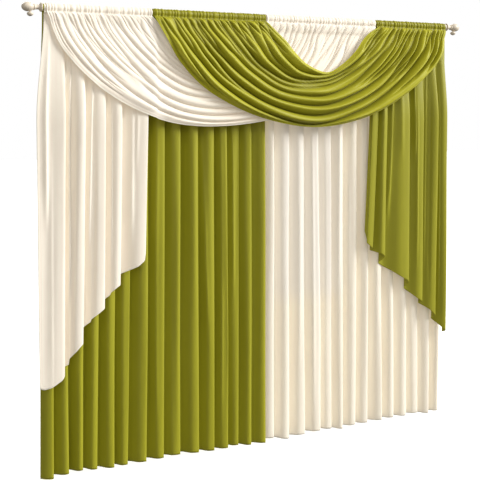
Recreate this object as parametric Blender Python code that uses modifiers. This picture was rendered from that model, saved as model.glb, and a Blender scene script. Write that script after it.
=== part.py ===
"""Two floor-length curtain panels, two tails and two swags, hung together on one turned rod.

X runs along the rod, Z is up, and -Y faces the room. The middle of the rod is at the origin. Sizes are in
metres. A drop is a distance below the rod's axis.
"""

import math
from collections import namedtuple

import bmesh
import bpy
import numpy as np

NAME = "Curtains on a rod"

# The rod and what is turned with it.
ROD_RADIUS = 0.014
ROD_SIDES = 24
FINIAL_FACE = 1.352
SOCKET_DEPTH = 0.005
FIT = 0.0003
TURNED_SIDES = 16
BALL_RADIUS = 0.025
BALL_HALF_LENGTH = 0.034
BALL_CENTRE = 0.073
BALL_RINGS = 8
COLLAR_RADIUS = 0.024
COLLAR_WIDTH = 0.006
PEG_RADIUS = 0.005
PEG_LENGTH = 0.009
DROP_SHIFT = 0.012
DROP_TOP = 0.0235

# Turned outlines as (radius, height) pairs from top to bottom. The neck's run from the ball down to the collar, and
# the drop's start at the peg's shoulder.
Turn = namedtuple("Turn", "radius height")
NECK_OUTLINE = (
    Turn(0.0170, 0.0430),
    Turn(0.0170, 0.0385),
    Turn(0.0140, 0.0350),
    Turn(0.0128, 0.0220),
    Turn(0.0150, 0.0090),
)
DROP_OUTLINE = (
    Turn(0.0125, -0.0045),
    Turn(0.0172, -0.0090),
    Turn(0.0168, -0.0150),
    Turn(0.0120, -0.0210),
    Turn(0.0060, -0.0245),
    Turn(0.0000, -0.0255),
)
DROP_SHOULDER = -0.0030
COLLAR_ROUNDING = 0.001
BALL_ARC = 0.80 * math.pi
CUTTER_LENGTH = 0.040

# Cloth, pocket and layers. Each layer is sewn over the one before it.
THICK = 0.0015
POCKET_SIDES = 8
POCKET_WALL = 0.01525
TAIL_WALL = 0.01735
SWAG_WALL = 0.01945
STITCH_DROP = 0.024
OPEN_DROP = 0.60
TAIL_START = 0.0072
TAIL_OUT = 0.050
SWAG_START = {"cream": 0.0105, "green": 0.0140}
SWAG_OUT = 0.080
SWAG_GAP = {"cream": 0.0, "green": 0.0150}
SWAG_FOLD = 0.012
SWAG_FOLD_OPEN = 0.20
SWAG_LAP = 0.10
SWAG_MIDDLE = 0.012

PANEL_BACK = 0.012
PANEL_FOLD = 0.033
TAIL_FOLD = 0.024
STEPS_PER_FOLD = 6
PANEL_LEAN = 0.13
TAIL_LEAN = 0.17
BULGE = 0.05

# One row for each fold of a hung cloth, from left to right. "at" counts folds, and whole numbers are crests.
# The first and last rows are the free edges. "top" and "hem" are places along the rod, "depth" is a share of the
# full fold, and "length" is the drop of the hem.
Fold = namedtuple("Fold", "at top hem depth length")

GREEN_PANEL_FOLDS = (
    Fold(-1 / 3, -1.350, -1.359, 0.90, 2.481),
    Fold(0, -1.319, -1.323, 1.00, 2.481),
    Fold(1, -1.235, -1.237, 0.95, 2.474),
    Fold(2, -1.140, -1.159, 1.05, 2.464),
    Fold(3, -1.042, -1.074, 0.95, 2.473),
    Fold(4, -0.947, -0.976, 1.10, 2.472),
    Fold(5, -0.850, -0.899, 0.90, 2.467),
    Fold(6, -0.755, -0.786, 1.10, 2.465),
    Fold(7, -0.659, -0.676, 1.00, 2.457),
    Fold(8, -0.567, -0.573, 0.90, 2.456),
    Fold(9, -0.457, -0.455, 1.10, 2.459),
    Fold(10, -0.351, -0.351, 1.00, 2.460),
    Fold(11, -0.267, -0.257, 0.90, 2.458),
    Fold(12, -0.182, -0.188, 0.55, 2.460),
    Fold(13, -0.110, -0.104, 0.95, 2.470),
    Fold(14, -0.003, 0.007, 0.80, 2.474),
)
CREAM_PANEL_FOLDS = (
    Fold(-2 / 3, 0.004, -0.018, 0.80, 2.469),
    Fold(0, 0.040, 0.049, 0.85, 2.469),
    Fold(1, 0.143, 0.155, 1.05, 2.458),
    Fold(2, 0.248, 0.263, 1.00, 2.464),
    Fold(3, 0.347, 0.384, 1.10, 2.466),
    Fold(4, 0.449, 0.472, 0.60, 2.469),
    Fold(5, 0.529, 0.551, 0.95, 2.471),
    Fold(6, 0.640, 0.643, 1.00, 2.472),
    Fold(7, 0.722, 0.733, 0.90, 2.472),
    Fold(8, 0.815, 0.845, 1.05, 2.468),
    Fold(9, 0.910, 0.939, 0.95, 2.466),
    Fold(10, 1.008, 1.039, 1.00, 2.468),
    Fold(11, 1.108, 1.136, 0.65, 2.465),
    Fold(12, 1.212, 1.226, 1.05, 2.462),
    Fold(13, 1.315, 1.304, 0.90, 2.470),
    Fold(13 + 1 / 3, 1.350, 1.318, 0.90, 2.470),
)
CREAM_TAIL_FOLDS = (
    Fold(-1 / 3, -1.350, -1.369, 0.50, 1.995),
    Fold(0, -1.320, -1.343, 0.50, 1.991),
    Fold(1, -1.255, -1.285, 1.00, 1.951),
    Fold(2, -1.142, -1.170, 1.10, 1.781),
    Fold(3, -1.023, -1.047, 1.00, 1.599),
    Fold(4, -0.922, -0.955, 0.95, 1.472),
    Fold(5, -0.770, -0.804, 1.00, 1.355),
    Fold(5 + 1 / 3, -0.750, -0.787, 1.00, 1.339),
)
GREEN_TAIL_FOLDS = (
    Fold(-1 / 3, 0.765, 0.706, 0.90, 1.337),
    Fold(0, 0.795, 0.735, 0.55, 1.370),
    Fold(1, 0.860, 0.821, 1.05, 1.440),
    Fold(2, 1.002, 1.009, 1.10, 1.597),
    Fold(3, 1.122, 1.117, 0.70, 1.740),
    Fold(4, 1.235, 1.216, 1.00, 1.828),
    Fold(5, 1.312, 1.302, 0.95, 1.932),
    Fold(5 + 1 / 3, 1.338, 1.332, 0.95, 1.950),
)

# Stations from the swag's inner heading, round its hanging middle, to its outer heading. The inner edge is the
# scoop and the outer edge is the hem.
Station = namedtuple("Station", "along inner_x inner_drop outer_x outer_drop")

GREEN_SWAG_STATIONS = (
    Station(0.0, -0.003, 0.024, -0.720, 0.024),
    Station(0.1, 0.055, 0.073, -0.649, 0.134),
    Station(0.2, 0.114, 0.127, -0.558, 0.277),
    Station(0.3, 0.180, 0.190, -0.385, 0.431),
    Station(0.4, 0.269, 0.256, -0.088, 0.568),
    Station(0.5, 0.386, 0.307, 0.285, 0.630),
    Station(0.6, 0.498, 0.267, 0.627, 0.583),
    Station(0.7, 0.597, 0.197, 0.903, 0.468),
    Station(0.8, 0.671, 0.121, 1.124, 0.324),
    Station(0.9, 0.733, 0.064, 1.260, 0.190),
    Station(1.0, 0.790, 0.024, 1.335, 0.024),
)
CREAM_SWAG_STATIONS = (
    Station(0.0, 0.006, 0.024, 0.783, 0.024),
    Station(0.1, -0.048, 0.071, 0.700, 0.134),
    Station(0.2, -0.104, 0.127, 0.603, 0.274),
    Station(0.3, -0.167, 0.189, 0.430, 0.430),
    Station(0.4, -0.250, 0.256, 0.127, 0.560),
    Station(0.5, -0.365, 0.306, -0.254, 0.618),
    Station(0.6, -0.471, 0.269, -0.586, 0.607),
    Station(0.7, -0.557, 0.204, -0.874, 0.518),
    Station(0.8, -0.623, 0.127, -1.101, 0.377),
    Station(0.9, -0.680, 0.067, -1.257, 0.204),
    Station(1.0, -0.727, 0.024, -1.330, 0.024),
)
# Where one fold of a swag ends and the next begins, as shares of the way from the scoop to the hem.
SWAG_FOLD_ENDS = (0.0, 0.09, 0.22, 0.40, 0.57, 0.74, 0.89, 1.0)
SWAG_STEPS_IN_FOLD = (0.0, 0.34, 0.64, 0.88)
SWAG_SPANS = 18
PANEL_DROPS = (0.022, 0.05, 0.11, 0.18, 0.26, 0.36, 0.60)
TAIL_DROPS = (0.05, 0.11, 0.18, 0.26, 0.36, 0.60)

Finish = namedtuple("Finish", "red green blue roughness")
GREEN_CLOTH = Finish(0.245, 0.235, 0.018, 0.62)
CREAM_CLOTH = Finish(0.860, 0.785, 0.680, 0.62)
CREAM_SHEER = Finish(0.880, 0.800, 0.640, 0.70)
CREAM_WOOD = Finish(0.830, 0.750, 0.620, 0.45)


def clear_scene():
    """Removes every object of the scene."""
    for obj in list(bpy.data.objects):
        bpy.data.objects.remove(obj, do_unlink=True)


def material(name, finish):
    """A plain Principled material of one colour."""
    made = bpy.data.materials.new(name)
    made.use_nodes = True
    shader = made.node_tree.nodes["Principled BSDF"]
    shader.inputs["Base Color"].default_value = (finish.red, finish.green, finish.blue, 1.0)
    shader.inputs["Roughness"].default_value = finish.roughness
    shader.inputs["Metallic"].default_value = 0.0
    return made


def add_object(name, points, faces, finish, collection):
    """A mesh object with its faces turned outwards."""
    mesh = bpy.data.meshes.new(name)
    mesh.from_pydata([tuple(point) for point in points], [], faces)
    shape = bmesh.new()
    shape.from_mesh(mesh)
    bmesh.ops.recalc_face_normals(shape, faces=shape.faces)
    shape.to_mesh(mesh)
    shape.free()
    mesh.materials.append(material(name, finish))
    made = bpy.data.objects.new(name, mesh)
    collection.objects.link(made)
    return made


def ease(share):
    """Smooth step from 0 to 1."""
    share = np.clip(share, 0.0, 1.0)
    return share * share * (3.0 - 2.0 * share)


def opened(drop):
    """How far the folds have opened at a drop: nothing at the stitching, all below the swags."""
    return ease((drop - STITCH_DROP) / (OPEN_DROP - STITCH_DROP))


def curve_through(at, knots, values):
    """A cubic through the values at the knots, with its slope at each knot taken from the neighbours."""
    slopes = np.gradient(values, knots)
    left = np.clip(np.searchsorted(knots, at, side="right") - 1, 0, len(knots) - 2)
    span = knots[left + 1] - knots[left]
    t = (at - knots[left]) / span
    rise = values[left] * (1 + 2 * t) * (1 - t) ** 2 + values[left + 1] * t * t * (3 - 2 * t)
    turn = slopes[left] * t * (1 - t) ** 2 - slopes[left + 1] * t * t * (1 - t)
    return rise + turn * span


def strip(first, second):
    """Triangles between two rows of points. One row may have twice as many spans as the other."""
    if len(second) < len(first):
        return strip(second, first)
    faces = []
    for i in range(len(first) - 1):
        near, far = first[i], first[i + 1]
        if len(first) == len(second):
            faces += [(near, far, second[i + 1]), (near, second[i + 1], second[i])]
            continue
        low, mid, high = second[2 * i], second[2 * i + 1], second[2 * i + 2]
        faces += [(near, mid, low), (near, far, mid), (far, high, mid)]
    return faces


def cloth_solid(name, front, back, finish, collection, pocket=None):
    """A closed sheet from its rows of points, top row first. A pocket is (outer rows, inner rows) over the rod."""
    rows = front + back + (pocket[0] + pocket[1] if pocket else [])
    starts = np.cumsum([0] + [len(row) for row in rows])
    index = [list(range(starts[i], starts[i + 1])) for i in range(len(rows))]
    count = len(front)
    near, far, over = index[:count], index[count:2 * count], index[2 * count:]
    pairs = list(zip(near, near[1:])) + list(zip(far, far[1:])) + [(near[-1], far[-1])]
    sides = list(zip(near, near[1:], far[1:], far))
    if pocket:
        outer, inner = over[: len(over) // 2], over[len(over) // 2:]
        pairs += list(zip(outer, outer[1:])) + list(zip(inner, inner[1:]))
        pairs += [(near[0], outer[0]), (far[0], outer[-1]), (inner[0], inner[-1])]
        sides += list(zip(outer, outer[1:], inner[1:], inner))
        sides += [(near[0], outer[0], outer[-1], far[0]), (outer[0], inner[0], inner[-1], outer[-1])]
    else:
        pairs.append((near[0], far[0]))
    faces = [face for first, second in pairs for face in strip(first, second)]
    faces += [tuple(row[end] for row in side) for side in sides for end in (0, -1)]
    return add_object(name, np.concatenate(rows), faces, finish, collection)


def directions(grid, axis):
    """Unit directions along one axis of a grid of points, each halfway between those of its two neighbours."""
    steps = np.diff(grid, axis=axis)
    steps /= np.linalg.norm(steps, axis=2, keepdims=True)
    first, last = np.take(steps, [0], axis), np.take(steps, [-1], axis)
    return np.concatenate([first, steps], axis) + np.concatenate([steps, last], axis)


def both_faces(grid):
    """The two faces of a sheet whose middle surface is a grid of points, half its thickness to each side."""
    across = np.cross(directions(grid, 0), directions(grid, 1))
    across /= np.linalg.norm(across, axis=2, keepdims=True)
    return grid + across * THICK / 2, grid - across * THICK / 2


def round_rod(wall, first, last):
    """Points (y, z) of an octagon round the rod, from one corner to another, counted upwards from the front."""
    corner = wall / math.cos(math.pi / POCKET_SIDES)
    turns = np.arange(first, last + (1 if last >= first else -1), 1 if last >= first else -1)
    angles = (turns + 0.5) * 2 * math.pi / POCKET_SIDES
    return np.stack([-corner * np.cos(angles), corner * np.sin(angles)], axis=1)


def fold_columns(folds):
    """Fold counts at the columns of a hung cloth's grid, evenly from edge to edge."""
    spans = round((folds[-1].at - folds[0].at) * STEPS_PER_FOLD)
    return np.linspace(folds[0].at, folds[-1].at, spans + 1)


def hung_rows(folds, counts, drops, deepest, lean, plane):
    """Rows of a hung cloth at these drops and at its hem. The folds swing about a plane that leaves the rod."""
    at, top, hem, depth, length = np.array(folds).T
    turn = 2 * np.pi * counts
    lengths = np.interp(counts, at, length)
    rows = []
    for drop in [*drops, None]:
        down = lengths if drop is None else np.full_like(counts, drop)
        open_now = opened(down)
        share = (down - STITCH_DROP) / (lengths - STITCH_DROP)
        x = np.interp(counts, at, top) * (1 - share) + np.interp(counts, at, hem) * share
        pitch = np.gradient(x, counts)
        x = x + pitch * open_now * (lean * (np.cos(turn) - 1) + BULGE * np.sin(2 * turn))
        swing = deepest * np.interp(counts, at, depth) * (0.04 + 0.96 * open_now)
        y = plane(down) - swing * np.cos(turn)
        rows.append(np.stack([x, y, -down], axis=1))
    return rows


def thinned(rows, count):
    """The same rows with every second point left out of the first ones."""
    return [row[::2] if i < count else row for i, row in enumerate(rows)]


def panel(name, folds, finish, collection):
    """A panel with a pocket that goes all round the rod."""
    counts = fold_columns(folds)
    rows = hung_rows(folds, counts, PANEL_DROPS, PANEL_FOLD, PANEL_LEAN, lambda drop: PANEL_BACK * opened(drop))
    front, back = both_faces(np.array(rows))
    if front[0, 0, 1] > back[0, 0, 1]:
        front, back = back, front
    x = np.interp(counts, *np.array([(fold.at, fold.top) for fold in folds]).T)
    rings = []
    for wall in (POCKET_WALL + THICK / 2, POCKET_WALL - THICK / 2):
        turns = round_rod(wall, -2, 5)
        rings.append([np.stack([x[::2], np.full(x[::2].shape, y), np.full(x[::2].shape, z)], axis=1)
                      for y, z in turns])
    return cloth_solid(name, thinned(list(front), 2), thinned(list(back), 2), finish, collection, rings)


def tail(name, folds, finish, collection):
    """A tail that is sewn over the pocket and falls in front of the panel."""
    counts = fold_columns(folds)
    plane = lambda drop: -TAIL_START - TAIL_OUT * opened(drop)
    x = np.interp(counts, *np.array([(fold.at, fold.top) for fold in folds]).T)
    over = [(y, z) for y, z in round_rod(TAIL_WALL, 4, -2)] + [(-TAIL_START, -STITCH_DROP)]
    rows = [np.stack([x, np.full_like(x, y), np.full_like(x, z)], axis=1) for y, z in over]
    hung = hung_rows(folds, counts, TAIL_DROPS, TAIL_FOLD, TAIL_LEAN, plane)
    front, back = both_faces(np.array(rows + hung))
    return cloth_solid(name, thinned(list(front), 8), thinned(list(back), 8), finish, collection)


def swag(name, stations, colour, finish, collection):
    """A swag sewn over the pocket at two headings, its folds running from one to the other."""
    along, inner_x, inner_drop, outer_x, outer_drop = np.array(stations).T
    ends = np.array(SWAG_FOLD_ENDS)
    counts = np.add.outer(np.arange(len(ends) - 1), SWAG_STEPS_IN_FOLD).ravel()
    counts = np.append(counts, len(ends) - 1)
    within = counts - np.floor(counts)
    across = np.interp(counts, np.arange(len(ends)), ends)
    hump = np.sin(np.pi * within ** 1.35)
    even = np.linspace(0, 1, SWAG_SPANS + 1)[:, None]
    a = even - SWAG_MIDDLE * np.sin(4 * np.pi * even)
    lap = SWAG_LAP * np.sin(2 * np.pi * within) * np.interp(counts, np.arange(len(ends)), np.gradient(ends))
    inner = curve_through(a, along, inner_x), curve_through(a, along, inner_drop)
    outer = curve_through(a, along, outer_x), curve_through(a, along, outer_drop)
    b = across - lap * ease(4 * a) * ease(4 * (1 - a))
    x = inner[0] * (1 - b) + outer[0] * b
    down = inner[1] * (1 - b) + outer[1] * b
    folded = ease((down - STITCH_DROP) / SWAG_FOLD_OPEN)
    out = SWAG_START[colour] + SWAG_OUT * opened(down) + SWAG_GAP[colour] * folded
    y = -out - SWAG_FOLD * hump * (0.08 + 0.92 * folded)
    middle = np.stack([x, y, -down], axis=2)
    round_pocket = round_rod(SWAG_WALL, 4, -1)
    over = lambda row: [np.stack([row[:, 0], np.full(len(row), u), np.full(len(row), v)], axis=1)
                        for u, v in round_pocket]
    rows = over(middle[0]) + list(middle) + over(middle[-1])[::-1]
    front, back = both_faces(np.array(rows))
    sparse = len(round_pocket)
    thin = [list(face) for face in (front, back)]
    for face in thin:
        face[:sparse] = [row[::2] for row in face[:sparse]]
        face[-sparse:] = [row[::2] for row in face[-sparse:]]
    return cloth_solid(name, thin[0], thin[1], finish, collection)


def turned(name, profile, finish, collection):
    """A solid turned about Z from (radius, height) pairs that run from top to bottom."""
    mesh = bpy.data.meshes.new(name)
    points = [(radius, 0.0, height) for radius, height in profile]
    mesh.from_pydata(points, [(i, i + 1) for i in range(len(points) - 1)], [])
    mesh.materials.append(material(name, finish))
    made = bpy.data.objects.new(name, mesh)
    collection.objects.link(made)
    screw = made.modifiers.new("Turned", "SCREW")
    screw.steps = screw.render_steps = TURNED_SIDES
    screw.use_merge_vertices = True
    screw.merge_threshold = 0.00001
    return made


def finial(side, finish, collection, cutters):
    """Collar, neck and ball in one piece. Its collar takes the rod's end, and its ball takes a drop's peg."""
    sign = {"left": -1, "right": 1}[side]
    arc = np.linspace(0.0, BALL_ARC, BALL_RINGS)
    profile = [(BALL_RADIUS * math.sin(t), BALL_CENTRE + BALL_HALF_LENGTH * math.cos(t)) for t in arc]
    profile += NECK_OUTLINE
    rim = COLLAR_RADIUS - COLLAR_ROUNDING
    profile += [(rim, COLLAR_WIDTH), (COLLAR_RADIUS, COLLAR_WIDTH / 2), (rim, 0.0)]
    socket = (ROD_RADIUS + FIT) / math.cos(math.pi / TURNED_SIDES)
    profile += [(socket, 0.0), (socket, SOCKET_DEPTH), (0.0, SOCKET_DEPTH)]
    made = turned(f"finial_{side}", profile, finish, collection)
    made.location = (sign * FINIAL_FACE, 0.0, 0.0)
    made.rotation_euler = (0.0, sign * math.pi / 2, 0.0)
    place = sign * (FINIAL_FACE + BALL_CENTRE - DROP_SHIFT)
    top, width = CUTTER_LENGTH / 2, PEG_RADIUS + FIT
    hole = [(0.0, top), (width, top), (width, -top), (0.0, -top)]
    cutter = turned(f"peg_hole_{side}", hole, finish, cutters)
    cutter.location = (place, 0.0, -DROP_TOP + PEG_LENGTH + FIT - top)
    cutter.display_type = "WIRE"
    cutter.hide_render = True
    cut = made.modifiers.new("Peg hole", "BOOLEAN")
    cut.operation = "DIFFERENCE"
    cut.solver = "EXACT"
    cut.object = cutter
    peg = [(0.0, PEG_LENGTH), (PEG_RADIUS, PEG_LENGTH), (PEG_RADIUS, DROP_SHOULDER)]
    drop = turned(f"drop_{side}", [*peg, *DROP_OUTLINE], finish, collection)
    drop.location = (place, 0.0, -DROP_TOP)
    return made, drop


def rod(finish, collection):
    """The rod, which ends inside the two finials."""
    half = FINIAL_FACE + SOCKET_DEPTH - FIT
    bpy.ops.mesh.primitive_cylinder_add(vertices=ROD_SIDES, radius=ROD_RADIUS, depth=2 * half)
    made = bpy.context.object
    made.name = made.data.name = "rod"
    made.rotation_euler = (0.0, math.pi / 2, 0.0)
    made.data.materials.append(material("rod", finish))
    for old in list(made.users_collection):
        old.objects.unlink(made)
    collection.objects.link(made)
    return made


def main():
    """Builds the rod and all that hangs from it."""
    clear_scene()
    scene = bpy.context.scene
    scene.unit_settings.system = "METRIC"
    scene.unit_settings.scale_length = 1.0
    parts = bpy.data.collections.new(NAME)
    cutters = bpy.data.collections.new("Cutters")
    cutters.hide_render = True
    scene.collection.children.link(parts)
    scene.collection.children.link(cutters)
    rod(CREAM_WOOD, parts)
    for side in ("left", "right"):
        finial(side, CREAM_WOOD, parts, cutters)
    panel("green_panel", GREEN_PANEL_FOLDS, GREEN_CLOTH, parts)
    panel("cream_panel", CREAM_PANEL_FOLDS, CREAM_SHEER, parts)
    tail("cream_tail", CREAM_TAIL_FOLDS, CREAM_CLOTH, parts)
    tail("green_tail", GREEN_TAIL_FOLDS, GREEN_CLOTH, parts)
    swag("cream_swag", CREAM_SWAG_STATIONS, "cream", CREAM_CLOTH, parts)
    swag("green_swag", GREEN_SWAG_STATIONS, "green", GREEN_CLOTH, parts)


main()
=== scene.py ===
"""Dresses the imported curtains: gathered cloth, turned wood, a plain studio and a camera.

X runs along the rod, Z is up, and -Y faces the room. The middle of the rod is at the origin. Sizes are in
metres, and a drop is a distance below the rod's axis.
"""

import math
from collections import namedtuple

import bpy
import numpy as np
from bpy.props import FloatProperty, FloatVectorProperty, PointerProperty
from mathutils import Euler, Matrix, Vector


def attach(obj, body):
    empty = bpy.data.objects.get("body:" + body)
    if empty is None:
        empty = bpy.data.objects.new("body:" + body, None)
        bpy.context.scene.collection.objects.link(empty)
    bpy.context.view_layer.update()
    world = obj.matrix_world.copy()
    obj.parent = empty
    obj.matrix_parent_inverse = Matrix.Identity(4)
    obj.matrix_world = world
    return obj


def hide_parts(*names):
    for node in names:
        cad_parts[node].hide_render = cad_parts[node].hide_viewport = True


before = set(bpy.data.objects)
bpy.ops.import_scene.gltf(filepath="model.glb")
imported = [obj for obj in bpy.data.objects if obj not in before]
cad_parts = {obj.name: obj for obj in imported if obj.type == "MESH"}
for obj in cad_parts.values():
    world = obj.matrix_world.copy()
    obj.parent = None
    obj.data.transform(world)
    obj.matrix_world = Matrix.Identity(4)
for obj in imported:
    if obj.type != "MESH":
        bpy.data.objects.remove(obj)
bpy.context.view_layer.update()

bl_info = {
    "name": "Curtains with swags and tails",
    "version": (1, 0, 0),
    "blender": (4, 5, 0),
    "location": "3D View > Sidebar > Curtains",
    "description": "Two curtain panels, two tails and two swags on a turned rod",
    "category": "Object",
}

TAU = 2 * math.pi

# The finials' faces on the rod, the sockets that take its ends, and the pockets' radii about its axis.
FINIAL_FACE = 1.352
SOCKET_RADIUS = 0.0143
SOCKET_DEPTH = 0.005
PANEL_RADIUS = 0.0158
TAIL_RADIUS = 0.0180
SWAG_RADIUS = 0.0203

# The stitching below the rod, the angle at which an outer pocket ends behind it, and the small turn and
# reach with which an inner pocket comes back to the stitching.
STITCH_DROP = 0.024
BACK_ANGLE = math.radians(202.5)
BACK_TURN = 0.07
BACK_REACH = 0.0021
ARC_POINTS = 90

# The drop at which a hung cloth's folds are fully open, and the distances over which a swag's folds and the
# gap behind it open below the stitching.
OPEN_DROP = 0.60
SWAG_FOLD_OPEN = 0.26
SWAG_GAP_OPEN = 0.15

# Shares of the gathers' height: on an inner pocket where the outer ones hide it, at its back, and on a
# swag's pocket. Then the share of painted shade in the valleys of a swag pocket's gathers.
HIDDEN_GATHER = 0.17
BACK_GATHER = 0.7
SWAG_GATHER = 0.85
SWAG_POCKET_SHADE = 0.7

# The least gap between two cloths, and how softly one is pushed clear of the other.
LAYER_GAP = 0.0018
LAYER_SOFTNESS = 0.0025

# A hung cloth: shares of its folds and ridges at the stitching, the skew of its folds, and how unevenly
# they stand.
CLOSED_FOLD = 0.04
CLOSED_RIDGE = 0.25
FOLD_SKEW = 0.05
FOLD_UNEVEN = 0.18
SIDE_WANDER = 0.0035
DEPTH_WANDER = 0.0040
HUNG_FADE = 0.060

# A swag: the share of its folds at the headings and at its edges, and how unevenly they stand.
CLOSED_SWAG_FOLD = 0.42
EDGE_FOLD = 0.30
EDGE_BREADTH = 0.06
SWAG_UNEVEN = 0.25
SWAG_WANDER = 0.0008
CREASE_WANDER = 0.004
SEWN_RISE = 0.014
DRAPED_FADE = 0.035

# The troughs of a swag's creases: their roundness, the share of the way over which they die out, the
# breadth of the short ones, and how much narrower they are at the foot of the scoop, how far round and how
# far down from it.
TROUGH_POWER = 1.35
CREASE_END = 0.10
SHORT_BREADTH = 0.45
FOOT_NARROWING = 0.6
FOOT_SPREAD = 0.13
FOOT_REACH = 0.35

# Wider gathers that grow and fade below the stitching: the pitch as a multiple of the finest gathers', the
# height, the distances over which they grow and fade, and what they add to the seed.
Gather = namedtuple("Gather", "pitch height grow fade seed")

HUNG_GATHERS = (Gather(2.1, 0.0050, 0.05, 0.16, 5), Gather(4.3, 0.0080, 0.12, 0.50, 7))
DRAPED_GATHERS = (Gather(2.3, 0.0030, 0.04, 0.12, 2), Gather(4.1, 0.0012, 0.10, 0.30, 4))

# The patch of the sheer panel that is lit from behind: two sides and a foot, each with the width of its
# soft edge.
BACKLIT_LEFT, BACKLIT_LEFT_EDGE = 0.02, 0.10
BACKLIT_RIGHT, BACKLIT_RIGHT_EDGE = 0.66, 0.22
BACKLIT_FOOT, BACKLIT_FOOT_EDGE = 1.72, 0.14

# How a cloth takes the light: its roughness, its gloss, the share of light that comes through it, and a
# small constant glow in place of the light that scatters inside a pale cloth.
Finish = namedtuple("Finish", "roughness gloss through glow")

GREEN_HUNG = Finish(0.48, 0.35, 0.06, 0.0)
GREEN_DRAPED = Finish(0.48, 0.24, 0.06, 0.0)
CREAM_SHEER = Finish(0.55, 0.15, 0.25, 0.12)
CREAM_HUNG = Finish(0.55, 0.15, 0.15, 0.13)
CREAM_DRAPED = Finish(0.55, 0.15, 0.15, 0.18)

# Painted shade and light: the tones painted as shade into a green crease, into the cream creases and into the
# cream swag's creases, the share by which the green swag's green is painted lighter, and the patch that is
# lit from behind.
GREEN_CREASE_SHADE = 0.40
CREAM_CREASE_SHADE = 0.75
CREAM_SWAG_CREASE_SHADE = 0.68
GREEN_SWAG_PAINTED_LIGHT = 1.27
BACKLIT_COLOUR = (0.83, 0.81, 0.78, 1.0)

# The cloth's marks, in metres: the pitch of its ribs and of its stitches, the bound edge's middle and half
# width, and the stitched lines at the pocket and at the hem with their half widths.
RIB_PITCH = 0.0021
STITCH_PITCH = 0.0042
BOUND_MIDDLE, BOUND_HALF = 0.0022, 0.0026
SEAM_RISE, SEAM_HALF = 0.0004, 0.0009
HEM_STITCH, HEM_STITCH_HALF = 0.0195, 0.0007

# A map over the cloths' face, in cells along the rod and down the drop.
MAP_CELL = 0.006
MAP_REACH = 1.45
MAP_EMPTY = 1.0
MAP_BACK = 0.05
MAP_DROP = 2.52
MAP_COLUMNS = round(2 * MAP_REACH / MAP_CELL)
MAP_ROWS = round(MAP_DROP / MAP_CELL)

# One row for each fold of a hung cloth, from left to right. "at" counts folds, and whole numbers are
# crests. "top" and "hem" are places along the rod, "depth" is a share of the full fold, and "length" is the
# hem's drop.
Fold = namedtuple("Fold", "at top hem depth length")

GREEN_PANEL_FOLDS = (
    Fold(-1 / 3, -1.350, -1.359, 0.90, 2.489),
    Fold(0, -1.319, -1.323, 1.00, 2.490),
    Fold(1, -1.235, -1.237, 0.95, 2.477),
    Fold(2, -1.140, -1.159, 1.05, 2.468),
    Fold(3, -1.042, -1.074, 0.95, 2.477),
    Fold(4, -0.947, -0.976, 1.10, 2.482),
    Fold(5, -0.850, -0.899, 0.90, 2.480),
    Fold(6, -0.755, -0.786, 1.10, 2.478),
    Fold(7, -0.659, -0.676, 1.00, 2.477),
    Fold(8, -0.567, -0.573, 0.90, 2.474),
    Fold(9, -0.457, -0.455, 1.10, 2.477),
    Fold(10, -0.351, -0.351, 1.00, 2.484),
    Fold(11, -0.267, -0.257, 0.90, 2.483),
    Fold(12, -0.182, -0.188, 0.55, 2.477),
    Fold(13, -0.110, -0.104, 0.95, 2.487),
    Fold(14, -0.003, 0.007, 0.80, 2.491),
)
CREAM_PANEL_FOLDS = (
    Fold(-2 / 3, 0.004, -0.018, 0.80, 2.469),
    Fold(0, 0.040, 0.049, 0.85, 2.469),
    Fold(1, 0.143, 0.155, 1.05, 2.489),
    Fold(2, 0.248, 0.263, 1.00, 2.477),
    Fold(3, 0.347, 0.384, 1.10, 2.471),
    Fold(4, 0.449, 0.472, 0.60, 2.474),
    Fold(5, 0.529, 0.551, 0.95, 2.484),
    Fold(6, 0.640, 0.643, 1.00, 2.472),
    Fold(7, 0.722, 0.733, 0.90, 2.472),
    Fold(8, 0.815, 0.845, 1.05, 2.468),
    Fold(9, 0.910, 0.939, 0.95, 2.466),
    Fold(10, 1.008, 1.039, 1.00, 2.468),
    Fold(11, 1.108, 1.136, 0.65, 2.465),
    Fold(12, 1.212, 1.226, 1.05, 2.478),
    Fold(13, 1.315, 1.304, 0.90, 2.470),
    Fold(13 + 1 / 3, 1.350, 1.318, 0.90, 2.470),
)
CREAM_TAIL_FOLDS = (
    Fold(0.5, -1.343, -1.350, 0.20, 1.982),
    Fold(0.54, -1.336, -1.345, 0.20, 1.994),
    Fold(0.62, -1.322, -1.334, 0.20, 1.999),
    Fold(0.75, -1.299, -1.316, 0.25, 1.993),
    Fold(0.88, -1.276, -1.300, 0.50, 1.978),
    Fold(1, -1.255, -1.283, 0.75, 1.956),
    Fold(1.2, -1.232, -1.259, 0.90, 1.914),
    Fold(1.5, -1.198, -1.229, 1.05, 1.901),
    Fold(1.66, -1.180, -1.213, 1.08, 1.880),
    Fold(1.675, -1.179, -1.212, 1.08, 1.850),
    Fold(2, -1.142, -1.180, 1.10, 1.784),
    Fold(2.5, -1.082, -1.113, 1.05, 1.705),
    Fold(2.72, -1.056, -1.084, 1.03, 1.662),
    Fold(2.735, -1.054, -1.082, 1.03, 1.648),
    Fold(3, -1.023, -1.047, 1.00, 1.599),
    Fold(3.5, -0.982, -1.006, 0.97, 1.560),
    Fold(3.74, -0.963, -0.986, 0.96, 1.527),
    Fold(3.755, -0.962, -0.985, 0.96, 1.514),
    Fold(4, -0.942, -0.965, 0.95, 1.483),
    Fold(4.5, -0.855, -0.885, 0.98, 1.428),
    Fold(4.88, -0.789, -0.822, 1.00, 1.380),
    Fold(5, -0.770, -0.802, 1.00, 1.350),
    Fold(5.1, -0.763, -0.794, 1.00, 1.295),
    Fold(5 + 1 / 3, -0.750, -0.786, 1.00, 1.225),
)
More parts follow.
